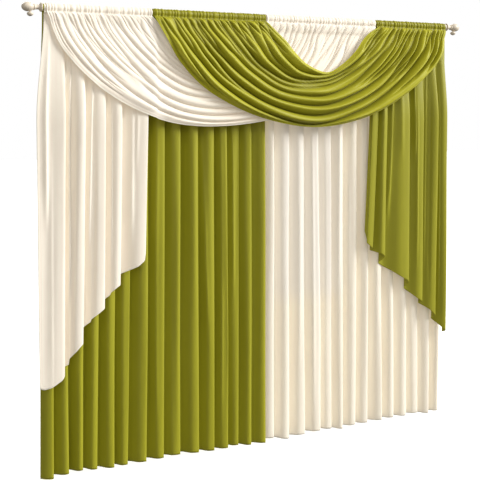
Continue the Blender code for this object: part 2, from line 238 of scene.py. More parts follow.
GREEN_TAIL_FOLDS = (
    Fold(-1 / 3, 0.765, 0.706, 0.90, 1.270),
    Fold(-0.2, 0.772, 0.712, 0.80, 1.335),
    Fold(0, 0.795, 0.735, 0.55, 1.370),
    Fold(1, 0.834, 0.806, 1.05, 1.414),
    Fold(1.5, 0.918, 0.907, 1.07, 1.490),
    Fold(2, 1.002, 1.007, 1.10, 1.592),
    Fold(2.5, 1.062, 1.062, 0.90, 1.656),
    Fold(3, 1.122, 1.117, 0.70, 1.731),
    Fold(3.5, 1.178, 1.174, 0.85, 1.754),
    Fold(3.8, 1.213, 1.209, 0.94, 1.790),
    Fold(4, 1.235, 1.230, 1.00, 1.826),
    Fold(4.5, 1.273, 1.271, 0.97, 1.864),
    Fold(5, 1.312, 1.311, 0.95, 1.932),
    Fold(5 + 1 / 3, 1.338, 1.341, 0.95, 1.952),
)

# Stations from the swag's inner heading, round its hanging middle, to its outer heading. The inner edge is
# the scoop and the outer edge is the hem.
Station = namedtuple("Station", "along inner_x inner_drop outer_x outer_drop")

GREEN_SWAG_STATIONS = (
    Station(0.0, -0.003, 0.024, -0.720, 0.024),
    Station(0.1, 0.055, 0.073, -0.660, 0.134),
    Station(0.2, 0.114, 0.127, -0.571, 0.279),
    Station(0.3, 0.170, 0.195, -0.396, 0.434),
    Station(0.4, 0.257, 0.266, -0.088, 0.568),
    Station(0.5, 0.386, 0.307, 0.285, 0.630),
    Station(0.6, 0.490, 0.262, 0.627, 0.583),
    Station(0.7, 0.583, 0.192, 0.903, 0.468),
    Station(0.8, 0.656, 0.118, 1.124, 0.324),
    Station(0.9, 0.720, 0.062, 1.260, 0.190),
    Station(1.0, 0.790, 0.024, 1.335, 0.024),
)
CREAM_SWAG_STATIONS = (
    Station(0.0, 0.006, 0.024, 0.783, 0.024),
    Station(0.1, -0.048, 0.071, 0.700, 0.134),
    Station(0.2, -0.104, 0.127, 0.603, 0.274),
    Station(0.3, -0.167, 0.189, 0.430, 0.430),
    Station(0.4, -0.250, 0.256, 0.127, 0.560),
    Station(0.5, -0.365, 0.306, -0.254, 0.618),
    Station(0.6, -0.471, 0.269, -0.586, 0.607),
    Station(0.7, -0.557, 0.204, -0.874, 0.518),
    Station(0.8, -0.623, 0.127, -1.101, 0.377),
    Station(0.9, -0.680, 0.067, -1.257, 0.204),
    Station(1.0, -0.727, 0.024, -1.330, 0.024),
)

# The valleys between a swag's folds. Each runs from "first" to "last" on the way round, with its strength
# at the first heading, in the middle and at the last heading. "places" are its shares of the way from the
# scoop to the hem, one for each station. Where there are fewer, a crease that comes from the first heading
# keeps its last place from there on, and any other keeps its first place up to there.
Crease = namedtuple("Crease", "first last breadth left middle right places")

GREEN_SWAG_CREASES = (
    Crease(-0.1, 0.58, 1.0, 0.7, 0.8, 0.95, (0.02, 0.065, 0.11, 0.13, 0.135, 0.045, 0.03)),
    Crease(-0.1, 0.4, 0.55, 0.8, 0.5, 0.65, (0.08, 0.145, 0.2, 0.225, 0.23, 0.17, 0.16)),
    Crease(-0.1, 1.1, 1.0, 0.8, 1.0, 1.0,
           (0.19, 0.235, 0.265, 0.28, 0.26, 0.11, 0.11, 0.12, 0.115, 0.097, 0.05)),
    Crease(0.68, 0.95, 0.55, 0.6, 0.8, 0.95, (0.14, 0.155, 0.14, 0.12)),
    Crease(-0.1, 0.24, 0.55, 0.7, 0.7, 0.85, (0.27, 0.315, 0.335, 0.34)),
    Crease(-0.1, 0.68, 1.0, 0.8, 0.9, 1.0, (0.345, 0.375, 0.388, 0.383, 0.345, 0.175, 0.16)),
    Crease(0.94, 1.1, 0.55, 0.7, 0.9, 0.85, (0.19, 0.175)),
    Crease(-0.1, 1.1, 1.0, 0.8, 0.7, 1.0,
           (0.43, 0.445, 0.443, 0.44, 0.425, 0.26, 0.215, 0.225, 0.262, 0.252, 0.235)),
    Crease(-0.1, 0.16, 0.55, 0.7, 0.7, 0.85, (0.49, 0.5)),
    Crease(-0.1, 1.1, 1.0, 0.9, 0.8, 1.0,
           (0.55, 0.56, 0.53, 0.515, 0.52, 0.435, 0.38, 0.33, 0.322, 0.335, 0.3)),
    Crease(0.6, 1.1, 0.55, 0.7, 0.8, 0.95, (0.45, 0.445, 0.42, 0.395, 0.38, 0.345)),
    Crease(0.62, 1.1, 0.55, 0.6, 0.8, 0.95, (0.49, 0.47, 0.45, 0.444, 0.465)),
    Crease(-0.1, 1.1, 1.0, 0.9, 0.9, 1.0,
           (0.64, 0.67, 0.64, 0.625, 0.645, 0.61, 0.56, 0.54, 0.52, 0.49, 0.52)),
    Crease(-0.1, 1.1, 1.0, 0.9, 1.0, 1.0,
           (0.7, 0.725, 0.708, 0.725, 0.77, 0.79, 0.71, 0.67, 0.6, 0.58, 0.59)),
    Crease(0.68, 1.1, 0.55, 0.6, 0.7, 0.95, (0.72, 0.7, 0.675, 0.645, 0.65)),
    Crease(-0.1, 0.38, 0.55, 0.8, 0.6, 0.75,
           (0.76, 0.77, 0.77, 0.775, 0.79, 0.79, 0.71, 0.71, 0.71, 0.71, 0.72)),
    Crease(-0.1, 1.1, 1.0, 0.9, 1.0, 1.0,
           (0.835, 0.86, 0.84, 0.85, 0.905, 0.95, 0.86, 0.8, 0.76, 0.75, 0.81)),
    Crease(0.74, 1.1, 0.55, 0.6, 0.7, 0.95, (0.9, 0.87, 0.85, 0.875)),
    Crease(-0.1, 0.36, 0.55, 0.8, 0.7, 0.85, (0.93, 0.915, 0.92, 0.945, 0.975, 1.0)),
    Crease(0.78, 1.1, 0.55, 0.6, 0.7, 0.95, (0.95, 0.94, 0.925, 0.955)),
)
CREAM_SWAG_CREASES = (
    Crease(-0.1, 1.1, 1.0, 0.9, 0.8, 0.6, (0.06, 0.1, 0.13, 0.12, 0.1, 0.08, 0.1, 0.11, 0.1, 0.07, 0.025)),
    Crease(-0.1, 1.1, 1.0, 0.9, 0.8, 0.7,
           (0.115, 0.17, 0.2, 0.19, 0.16, 0.14, 0.18, 0.18, 0.165, 0.12, 0.06)),
    Crease(-0.1, 1.1, 1.0, 1.0, 0.9, 0.7,
           (0.17, 0.235, 0.27, 0.26, 0.22, 0.2, 0.235, 0.235, 0.23, 0.195, 0.12)),
    Crease(-0.1, 1.1, 1.0, 1.0, 0.9, 0.7,
           (0.22, 0.29, 0.32, 0.32, 0.29, 0.265, 0.3, 0.302, 0.305, 0.285, 0.27)),
    Crease(-0.1, 1.1, 1.0, 0.9, 1.0, 0.9,
           (0.28, 0.335, 0.37, 0.39, 0.38, 0.37, 0.405, 0.388, 0.38, 0.378, 0.41)),
    Crease(-0.1, 0.32, 1.0, 0.9, 0.7, 0.7, (0.33, 0.4, 0.415, 0.43)),
    Crease(-0.1, 1.1, 1.0, 1.0, 0.9, 0.6,
           (0.38, 0.445, 0.465, 0.48, 0.48, 0.49, 0.525, 0.485, 0.46, 0.44, 0.46)),
    Crease(-0.1, 0.35, 1.0, 1.0, 0.8, 0.8, (0.43, 0.485, 0.525, 0.54, 0.55)),
    Crease(-0.1, 0.58, 1.0, 1.0, 0.9, 0.9, (0.5, 0.535, 0.585, 0.6, 0.59, 0.575, 0.58)),
    Crease(-0.1, 0.16, 1.0, 0.9, 0.7, 0.7, (0.57, 0.61, 0.63)),
    Crease(-0.1, 1.1, 1.0, 1.0, 0.9, 0.6,
           (0.63, 0.695, 0.665, 0.67, 0.68, 0.69, 0.675, 0.62, 0.545, 0.515, 0.53)),
    Crease(0.8, 1.1, 0.55, 0.6, 0.6, 0.9, (0.6, 0.62, 0.67)),
    Crease(-0.1, 0.76, 1.0, 1.0, 1.0, 0.8, (0.71, 0.75, 0.77, 0.78, 0.79, 0.81, 0.79, 0.7, 0.62)),
    Crease(0.74, 1.1, 0.55, 0.5, 0.5, 0.6, (0.7, 0.71, 0.75)),
    Crease(-0.1, 1.1, 1.0, 1.0, 0.9, 0.9, (0.79, 0.825, 0.87, 0.89, 0.9, 0.93, 0.9, 0.845, 0.8, 0.775, 0.83)),
    Crease(-0.1, 0.3, 1.0, 1.0, 0.7, 0.7, (0.885, 0.925, 0.95, 0.96)),
    Crease(0.54, 0.93, 2.2, 0.5, 0.5, 0.55, (0.95,)),
    Crease(0.72, 1.1, 0.55, 0.6, 0.4, 0.7, (0.91, 0.895, 0.87, 0.89)),
    Crease(0.76, 1.1, 0.55, 0.6, 0.4, 0.7, (0.96, 0.955, 0.935, 0.95)),
)

# A small fold on a hung cloth, placed by its count of main folds. It runs from "first" to "last" down the
# drop and drifts sideways on the way.
Ridge = namedtuple("Ridge", "at width height first last drift")

# A hung cloth: its folds and ridges, its pocket's radius, where it starts, how far its middle moves out or
# back as the folds open, the half depth of the folds, how they lean, how broad their crests are, and its
# share of gathers.
Hung = namedtuple(
    "Hung", "name folds ridges radius start out back fold lean crest gather columns rows pocket_rows seed")

# A swag: its stations and creases, where it starts, how far it moves out, and the room that it leaves
# behind it. Then, at the first heading, in the middle and at the last one: its depth, how thin its shade
# is, and how far its folds lap over. "widths" are the troughs' half widths at five places on the way round.
Draped = namedtuple(
    "Draped",
    "name stations creases start out gap depths gather widths thin laps columns rows pocket_rows seed")

GREEN_PANEL_RIDGES = (
    Ridge(6.79, 0.12, 0.012, 0.30, 2.60, 0.00),
    Ridge(9.60, 0.09, 0.014, 0.40, 1.90, 0.16),
    Ridge(10.80, 0.10, 0.010, 0.40, 2.60, 0.00),
    Ridge(11.74, 0.08, 0.009, 0.40, 1.70, 0.10),
)
CREAM_PANEL_RIDGES = (
    Ridge(0.55, 0.09, 0.009, 0.30, 2.60, 0.00),
    Ridge(2.79, 0.12, 0.014, 0.30, 2.70, 0.00),
    Ridge(1.66, 0.08, 0.010, 0.40, 1.90, 0.03),
    Ridge(3.75, 0.07, -0.008, 0.40, 2.20, 0.00),
    Ridge(5.74, 0.08, 0.010, 0.50, 2.60, 0.00),
)
CREAM_TAIL_RIDGES = (
    Ridge(0.67, 0.06, 0.012, 0.05, 1.20, 0.01),
    Ridge(0.78, 0.06, 0.003, 0.60, 2.20, 0.00),
    Ridge(1.61, 0.06, 0.018, 0.02, 1.75, 0.03),
    Ridge(1.79, 0.05, -0.006, 0.30, 2.00, 0.00),
    Ridge(2.67, 0.08, 0.016, 0.02, 1.45, -0.02),
    Ridge(2.80, 0.05, -0.006, 0.70, 1.70, 0.00),
    Ridge(3.73, 0.07, 0.008, 0.30, 1.60, 0.03),
    Ridge(4.70, 0.09, 0.012, 0.20, 1.35, 0.03),
    Ridge(4.84, 0.05, 0.006, 0.10, 0.95, -0.03),
)
GREEN_TAIL_RIDGES = (
    Ridge(0.61, 0.06, 0.008, 0.30, 1.40, 0.00),
    Ridge(1.65, 0.05, 0.022, 0.05, 1.30, -0.05),
    Ridge(1.84, 0.07, 0.006, 0.05, 0.90, 0.03),
    Ridge(2.66, 0.06, 0.020, 0.02, 0.90, 0.12),
    Ridge(2.84, 0.06, 0.008, 0.40, 1.60, 0.00),
    Ridge(3.64, 0.05, 0.009, 0.10, 1.60, 0.00),
    Ridge(3.80, 0.05, -0.006, 0.30, 1.80, 0.00),
    Ridge(4.67, 0.06, 0.010, 0.20, 1.90, 0.03),
)

# The finial's ball is half an egg and more: its radius, its middle and half length along the rod's axis,
# and how far round it goes. NECK is the profile from there to the rod, and ACORN the drop's, as rows of
# radius and height.
BALL_RADIUS = 0.025
BALL_MIDDLE = 0.073
BALL_LENGTH = 0.034
BALL_ARC = 0.80 * math.pi
DROP_OUT = 0.061
DROP_TOP = 0.0235
NECK = (
    (0.0152, 0.0440), (0.0166, 0.0432), (0.0172, 0.0415), (0.0170, 0.0392), (0.0158, 0.0378),
    (0.0144, 0.0365), (0.0136, 0.0330), (0.0130, 0.0280), (0.0128, 0.0220), (0.0132, 0.0160),
    (0.0142, 0.0110), (0.0160, 0.0080), (0.0190, 0.0066), (0.0225, 0.0061), (0.0238, 0.0048),
    (0.0242, 0.0030), (0.0238, 0.0010), (0.0230, 0.0),
)
ACORN = (
    (0.0, 0.0), (0.0048, 0.0), (0.0050, -0.0024), (0.0062, -0.0032), (0.0120, -0.0042), (0.0148, -0.0058),
    (0.0166, -0.0080), (0.0173, -0.0108), (0.0171, -0.0138), (0.0158, -0.0170), (0.0134, -0.0200),
    (0.0100, -0.0226), (0.0064, -0.0244), (0.0030, -0.0253), (0.0, -0.0256),
)

# The soft lights: their names and settings, their spread in degrees, and the direction in which they stand.
LIGHTS = (
    ("Key", "key", 28.0, (0.76, -0.48, 0.46)),
    ("Fill", "fill", 60.0, (-0.35, -0.80, 0.48)),
    ("Rear", "rear", 40.0, (0.20, 0.85, 0.45)),
)
FLOOR_LEVEL = -2.52
FLOOR_REACH = 40.0
WHITE = (1.0, 1.0, 1.0, 1.0)
WARM = (1.0, 0.93, 0.80, 1.0)
FLOOR_SEEN = (0.93, 0.93, 0.93, 1.0)
FLOOR_LIT = (0.16, 0.155, 0.15, 1.0)
CAMERA_PLACE = (-3.3896, -5.588, -0.5521)
CAMERA_TURN = (math.radians(90 - 3.25), 0.0, math.radians(-30))
CAMERA_LENS = 84.19
CAMERA_SHIFT = -0.13


class CurtainSizes(bpy.types.PropertyGroup):
    """Sizes of the cloth and its gathers."""

    thickness: FloatProperty(
        name="Cloth thickness", description="Thickness of every cloth", default=0.0011, unit="LENGTH")
    panel_fold: FloatProperty(
        name="Panel fold", description="Half the depth of a panel's folds", default=0.031, unit="LENGTH")
    tail_fold: FloatProperty(
        name="Tail fold", description="Half the depth of a tail's folds", default=0.025, unit="LENGTH")
    swag_fold: FloatProperty(
        name="Swag fold", description="Depth of a swag's folds", default=0.046, unit="LENGTH")
    pucker_pitch: FloatProperty(
        name="Pucker pitch", description="Distance between gathers on the heading", default=0.023,
        unit="LENGTH")
    pucker_height: FloatProperty(
        name="Pucker height", description="Height of the gathers on the heading", default=0.0072,
        unit="LENGTH")


class CurtainColours(bpy.types.PropertyGroup):
    """Colours of the cloths and of the wood."""

    green: FloatVectorProperty(
        name="Green cloth", description="Colour of the green cloth", default=(0.360, 0.345, 0.016),
        subtype="COLOR", min=0.0, max=1.0)
    cream: FloatVectorProperty(
        name="Cream cloth", description="Colour of the cream swag and tail", default=(0.945, 0.858, 0.745),
        subtype="COLOR", min=0.0, max=1.0)
    sheer: FloatVectorProperty(
        name="Cream sheer", description="Colour of the thinner cream panel", default=(0.960, 0.885, 0.775),
        subtype="COLOR", min=0.0, max=1.0)
    wood: FloatVectorProperty(
        name="Wood", description="Colour of the washed wood", default=(0.780, 0.690, 0.560),
        subtype="COLOR", min=0.0, max=1.0)


class StudioSettings(bpy.types.PropertyGroup):
    """Strengths of the lights and of the light from all round."""

    key: FloatProperty(
        name="Key light", description="Strength of the soft light at the front right", default=4.4, min=0.0)
    fill: FloatProperty(
        name="Fill light", description="Strength of the soft light at the left", default=0.75, min=0.0)
    ambient: FloatProperty(
        name="Ambient", description="Strength of the light from all round", default=0.29, min=0.0)
    rear: FloatProperty(
        name="Rear light", description="Strength of the soft light behind the cloths", default=2.4, min=0.0)


class Value:
    """A number that varies over a surface. Arithmetic on it adds Math nodes."""

    def __init__(self, recipe, socket):
        self.recipe = recipe
        self.socket = socket

    def maths(self, operation, first, second=0.0):
        return self.recipe.node("ShaderNodeMath", {"operation": operation}, {0: first, 1: second})

    def __add__(self, other):
        return self.maths("ADD", self, other)

    def __sub__(self, other):
        return self.maths("SUBTRACT", self, other)

    def __mul__(self, other):
        return self.maths("MULTIPLY", self, other)

    def __radd__(self, other):
        return self.maths("ADD", other, self)

    def __rsub__(self, other):
        return self.maths("SUBTRACT", other, self)

    def __rmul__(self, other):
        return self.maths("MULTIPLY", other, self)

    def wave(self):
        return self.maths("SINE", self)

    def size(self):
        return self.maths("ABSOLUTE", self)

    def below(self, limit):
        return self.maths("LESS_THAN", self, limit)


class Recipe:
    """The nodes of one material, or of the world."""

    def __init__(self, owner):
        self.owner = owner
        owner.use_nodes = True
        self.tree = owner.node_tree
        self.tree.nodes.clear()

    def node(self, kind, settings=None, sockets=None, output=0):
        """Adds a node, sets it up, fills its sockets with numbers or links, and returns one output."""
        made = self.tree.nodes.new(kind)
        for key, value in (settings or {}).items():
            setattr(made, key, value)
        for key, value in (sockets or {}).items():
            if isinstance(value, Value):
                self.tree.links.new(value.socket, made.inputs[key])
            else:
                made.inputs[key].default_value = value
        return Value(self, made.outputs[output])

    def flat(self):
        """Metres across and metres along the cloth as it was cut."""
        where = self.node("ShaderNodeUVMap", {"uv_map": "Flat"})
        return [self.node("ShaderNodeSeparateXYZ", None, {0: where}, i) for i in (0, 1)]

    def place(self, x, y, z=0.0):
        return self.node("ShaderNodeCombineXYZ", None, {0: x, 1: y, 2: z})

    def attribute(self, name):
        return self.node("ShaderNodeAttribute", {"attribute_name": name}, None, 2)

    def noise(self, where, scale, detail=2.0):
        return self.node("ShaderNodeTexNoise", None, {"Vector": where, "Scale": scale, "Detail": detail})

    def blend(self, share, first, second):
        """A mix of two colours."""
        return self.node("ShaderNodeMix", {"data_type": "RGBA"}, {0: share, 6: first, 7: second}, 2)

    def finish(self, shader, output="ShaderNodeOutputMaterial"):
        end = self.tree.nodes.new(output)
        self.tree.links.new(shader.socket, end.inputs["Surface"])
        return self.owner


def tinted(colour, share):
    """A colour made lighter or darker, as four numbers."""
    return tuple(min(1.0, part * share) for part in colour) + (1.0,)


def deepened(colour, share):
    """A darker and fuller tone: the colour times itself over its largest part, times a share."""
    return tuple(share * part * part / max(colour) for part in colour) + (1.0,)


def cloth_material(name, colour, finish, crease_shade_tone, backlit=None):
    """Fine knitted cloth: upright ribs, faint streaks along the thread, a paler bound edge and stitches.

    It is painted towards the given tone as shade in its creases and gathers' valleys, and towards another
    where it is lit from behind, each by its share.
    """
    recipe = Recipe(bpy.data.materials.new(name))
    across, along = recipe.flat()
    streaks = recipe.noise(recipe.place(across * 55.0, along * 2.2), 1.0, 3.0)
    mottle = recipe.noise(recipe.place(across * 9.0, along * 5.0, 3.0), 1.0, 2.0)
    share = 0.05 + 0.62 * streaks + 0.26 * mottle
    base = recipe.blend(share, tinted(colour, 0.86), tinted(colour, 1.10))
    hem = recipe.attribute("hem")
    bound = (hem - BOUND_MIDDLE).size().below(BOUND_HALF)
    base = recipe.blend(bound * 0.45, base, tinted(colour, 1.22))
    stitches = (across * (TAU / STITCH_PITCH)).wave().below(0.2)
    lines = (along + SEAM_RISE).size().below(SEAM_HALF) + (hem - HEM_STITCH).size().below(HEM_STITCH_HALF)
    base = recipe.blend(lines * stitches * 0.55, base, tinted(colour, 0.60))
    if backlit is not None:
        base = recipe.blend(recipe.attribute("backlit") * 0.5, base, backlit)
    # Painted shade: the cloth darkens towards the crease tone by the 'crease' mark, in its creases and
    # gathers' valleys.
    base = recipe.blend(recipe.attribute("crease") * 0.85, base, crease_shade_tone)
    rib = (across * (TAU / RIB_PITCH)).wave()
    weave = recipe.noise(recipe.place(across * 900.0, along * 500.0, 1.0), 1.0, 1.0)
    height = 0.5 * rib + 0.8 * weave + 1.6 * streaks
    bump = recipe.node("ShaderNodeBump", None, {"Strength": 0.22, "Distance": 0.0006, "Height": height})
    rough = finish.roughness + 0.10 * (weave - 0.5)
    front = recipe.node("ShaderNodeBsdfPrincipled", None, {
        "Base Color": base, "Roughness": rough, "Sheen Weight": 0.05, "Sheen Roughness": 0.45,
        "Specular IOR Level": finish.gloss, "Emission Color": base, "Emission Strength": finish.glow,
        "Normal": bump})
    through = recipe.node("ShaderNodeBsdfTranslucent", None, {"Color": tinted(colour, 1.0)})
    return recipe.finish(recipe.node("ShaderNodeMixShader", None, {0: finish.through, 1: front, 2: through}))


def wood_material(name, colour):
    """Washed wood: fine grain along the rod, faint darker pores, and a satin coat."""
    recipe = Recipe(bpy.data.materials.new(name))
    where = recipe.node("ShaderNodeTexCoord", None, None, 3)
    drawn = recipe.node("ShaderNodeMapping", None, {"Vector": where, "Scale": (9.0, 130.0, 130.0)})
    grain = recipe.noise(drawn, 1.0, 4.0)
    short = recipe.node("ShaderNodeMapping", None, {"Vector": where, "Scale": (60.0, 700.0, 700.0)})
    pores = (recipe.noise(short, 1.0) - 0.42).below(0.0)
    base = recipe.blend(grain, tinted(colour, 0.80), tinted(colour, 1.14))
    base = recipe.blend(pores * 0.3, base, tinted(colour, 0.66))
    bump = recipe.node("ShaderNodeBump", None, {"Strength": 0.25, "Distance": 0.0004, "Height": grain})
    rough = 0.36 + 0.18 * grain
    return recipe.finish(recipe.node("ShaderNodeBsdfPrincipled", None, {
        "Base Color": base, "Roughness": rough, "Coat Roughness": 0.3, "Normal": bump}))


def ease(share):
    """Smooth step from 0 to 1."""
    share = np.clip(share, 0.0, 1.0)
    return share * share * (3.0 - 2.0 * share)


def inside(share, rate):
    """1 within a cloth, easing to 0 at both of its ends, the faster the higher the rate."""
    return ease(rate * share) * ease(rate * (1 - share))


def opened(drop):
    """How far the folds have opened at a drop: nothing at the stitching, all below the swags."""
    return ease((drop - STITCH_DROP) / (OPEN_DROP - STITCH_DROP))


def curve_through(at, knots, values):
    """A cubic through the values at the knots, with its slope at each knot taken from the neighbours."""
    slopes = np.gradient(values, knots)
    left = np.clip(np.searchsorted(knots, at, side="right") - 1, 0, len(knots) - 2)
    span = knots[left + 1] - knots[left]
    t = (at - knots[left]) / span
    rise = values[left] * (1 + 2 * t) * (1 - t) ** 2 + values[left + 1] * t * t * (3 - 2 * t)
    turn = slopes[left] * t * (1 - t) ** 2 - slopes[left + 1] * t * t * (1 - t)
    return rise + turn * span


def ripple(across, down, seed, waves=5):
    """Soft unevenness about zero: a sum of sines of both directions, each with its own length and phase."""
    random = np.random.default_rng(seed)
    lengths = random.uniform(0.5, 1.6, waves)
    slants = random.uniform(-1.0, 1.0, waves)
    phases = random.uniform(0.0, 1.0, waves)
    return sum(np.sin(TAU * (across * a + down * b + c)) for a, b, c in zip(lengths, slants, phases)) / waves


def puckers(place, pitch, seed):
    """Gathers from 0 to 1 along a heading: round ridges with sharp valleys, of uneven pitch and height."""
    shifted = place / pitch + 0.8 * ripple(place / (4 * pitch), 0.0, seed)
    height = 0.70 + 0.55 * ripple(place / (2.5 * pitch), 0.0, seed + 1)
    return np.abs(np.sin(np.pi * shifted)) ** 0.8 * np.clip(height, 0.2, 1.2)


def pinched(before):
    """How high the gathers stand near the stitching: little at the seam, most beside it, less on top.

    They rise by an exponential over 4 mm, and sink by a third between 15 and 50 mm away.
    """
    past = np.abs(before)
    return (0.15 + 0.85 * (1 - np.exp(-past / 0.0040))) * (1 - 0.35 * ease((past - 0.015) / 0.035))


def gathered(kinds, far, heading, pitch, seed):
    """Height of the wider gathers: each kind grows away from the stitching and then fades."""
    return sum(kind.height * ease(far / kind.grow) * np.exp(-far / kind.fade)
               * puckers(heading, kind.pitch * pitch, seed + kind.seed) for kind in kinds)


def gather_shade(far, fine):
    """How dark the valleys of the gathers are, from 0 to 1.

    It is painted shade: what the gathers lack of their full height, to a power, and it fades over 12 mm to a
    third and then over 60 mm to nothing.
    """
    return (1 - np.clip(fine, 0.0, 1.0)) ** 1.4 * (0.35 + 0.65 * np.exp(-far / 0.012)) * np.exp(-far / 0.060)


def spaced(spacing):
    """Shares from 0 to 1 whose steps are in proportion to the given spacing."""
    walked = np.insert(np.cumsum(spacing), 0, 0.0)
    return (walked / walked[-1])[:, None]


def ridge_height(ridges, across, down):
    """Height of the small folds: rounded ridges, steeper on their right, that die out at their ends."""
    height = 0.0
    for ridge in ridges:
        away = across - ridge.at - ridge.drift * (down - ridge.first)
        side = np.where(away < 0, ridge.width, 0.5 * ridge.width)
        length = ridge.last - ridge.first
        fade = ease((down - ridge.first) / (0.3 * length)) * ease((ridge.last - down) / (0.3 * length))
        height = height + ridge.height * fade * np.exp(-(away / side) ** 2)
    return height


def stray_ridges(folds, reach, number, size, seed):
    """A seeded scatter of small folds and troughs over a cloth of so many folds and so long a reach."""
    random = np.random.default_rng(seed)
    at = np.linspace(0.0, folds, number) + random.uniform(-0.3, 0.3, number)
    width = random.uniform(0.09, 0.20, number)
    height = size * random.uniform(0.4, 1.0, number) * random.choice((-0.7, 1.0, 1.0), number)
    first = reach * random.uniform(-0.2, 0.45, number)
    last = np.minimum(first + reach * random.uniform(0.35, 1.0, number), 1.3 * reach)
    drift = random.uniform(-0.25, 0.25, number) / reach
    return [Ridge(*row) for row in zip(at, width, height, first, last, drift)]


Pocket = namedtuple("Pocket", "y z out_y out_z before")


def pocket_section(radius, stitch_y, all_round, rows):
    """A pocket's section from behind the rod, over its top and down to the stitching, at even distances.

    It is an arc of the given radius about the rod's axis with its tangent to the seam, and one more tangent
    behind where the pocket goes all round. Its outward directions are its own direction turned by a right
    angle.
    """
    distance = math.hypot(stitch_y, STITCH_DROP)
    reach = math.acos(radius / distance)
    leave = math.atan2(-STITCH_DROP, -stitch_y) + reach
    arrive = math.pi * 1.5 + BACK_TURN - reach if all_round else BACK_ANGLE
    angle = np.linspace(arrive, leave, ARC_POINTS)
    y, z = -radius * np.cos(angle), radius * np.sin(angle)
    y, z = np.append(y, stitch_y), np.append(z, -STITCH_DROP)
    if all_round:
        y, z = np.insert(y, 0, BACK_REACH), np.insert(z, 0, -STITCH_DROP)
    walked = np.insert(np.cumsum(np.hypot(np.diff(y), np.diff(z))), 0, 0.0)
    at = np.linspace(0.0, walked[-1], rows + 1)
    y, z = np.interp(at, walked, y), np.interp(at, walked, z)
    step_y, step_z = np.gradient(y), np.gradient(z)
    size = np.hypot(step_y, step_z)
    return Pocket(y[:-1], z[:-1], (step_z / size)[:-1], (-step_y / size)[:-1], at[:-1] - at[-1])


def over_rod(pocket, x, lift):
    """Rows of points round a pocket: each column keeps its place along the rod, lifted outwards."""
    rows = [x + 0 * lift, pocket.y[:, None] + pocket.out_y[:, None] * lift,
            pocket.z[:, None] + pocket.out_z[:, None] * lift]
    return np.stack(np.broadcast_arrays(*rows), axis=2)


def walked_along(points, axis):
    """Distance walked over a grid of points along one axis."""
    steps = np.linalg.norm(np.diff(points, axis=axis), axis=2)
    return np.insert(np.cumsum(steps, axis=axis), 0, 0.0, axis=axis)


def nearest_room(names, reach):
    """A map of how far the named pieces come towards the room: the least Y in each cell along X and Z.

    Sixteen points of each face are dropped into the cells. The map is then widened by so many cells, by
    taking the least of each cell and its neighbours, and smoothed over as many by averaging them.
    """
    room = np.full((MAP_ROWS, MAP_COLUMNS), MAP_EMPTY)
    share = np.linspace(0.0, 1.0, 4)
    along, across = (grid.ravel() for grid in np.meshgrid(share, share))
    corner_shares = np.stack(
        [(1 - along) * (1 - across), along * (1 - across), along * across, (1 - along) * across])
    for name in names:
        mesh = bpy.data.objects[name].data
        points, corners = np.empty(len(mesh.vertices) * 3), np.empty(len(mesh.loops), dtype=np.int32)
        mesh.vertices.foreach_get("co", points)
        mesh.loops.foreach_get("vertex_index", corners)
        spread = np.einsum("cs,fcd->sfd", corner_shares, points.reshape(-1, 3)[corners].reshape(-1, 4, 3))
        x, y, z = spread.reshape(-1, 3).T
        column, row = map_place(x, -z)
        np.minimum.at(room, (np.round(row).astype(int), np.round(column).astype(int)), y)
    for step in range(reach):
        for shift, axis in ((1, 0), (-1, 0), (1, 1), (-1, 1)):
            room = np.minimum(room, np.roll(room, shift, axis))
    room = np.minimum(room, MAP_BACK)
    for step in range(reach):
        room = (room + sum(np.roll(room, shift, axis) for shift in (1, -1) for axis in (0, 1))) / 5
    return room


def map_place(x, down):
    """Column and row of the map, with their fractions, at a place along the rod and a drop."""
    column = np.clip((x + MAP_REACH) / MAP_CELL - 0.5, 0.0, MAP_COLUMNS - 1.001)
    return column, np.clip(down / MAP_CELL - 0.5, 0.0, MAP_ROWS - 1.001)


def laid_over(x, y, down, room, gap):
    """Pushes a cloth towards the room until it clears what lies beneath it, with a soft start.

    The map is read between its cells, in proportion to the distance from each.
    """
    column, row = map_place(x, down)
    i, j = row.astype(int), column.astype(int)
    low, far = row - i, column - j
    limit = ((room[i, j] * (1 - far) + room[i, j + 1] * far) * (1 - low)
             + (room[i + 1, j] * (1 - far) + room[i + 1, j + 1] * far) * low) - gap
    excess = y - limit
    return y - 0.5 * (excess + np.sqrt(excess ** 2 + LAYER_SOFTNESS ** 2))


def backlit_share(points):
    """Share of the light from behind at each point: 1 inside its patch, with soft sides and a soft foot."""
    x, z = points[:, :, 0], points[:, :, 2]
    sides = ease((x - BACKLIT_LEFT) / BACKLIT_LEFT_EDGE) * ease((BACKLIT_RIGHT - x) / BACKLIT_RIGHT_EDGE)
    return sides * ease((BACKLIT_FOOT + z) / BACKLIT_FOOT_EDGE)


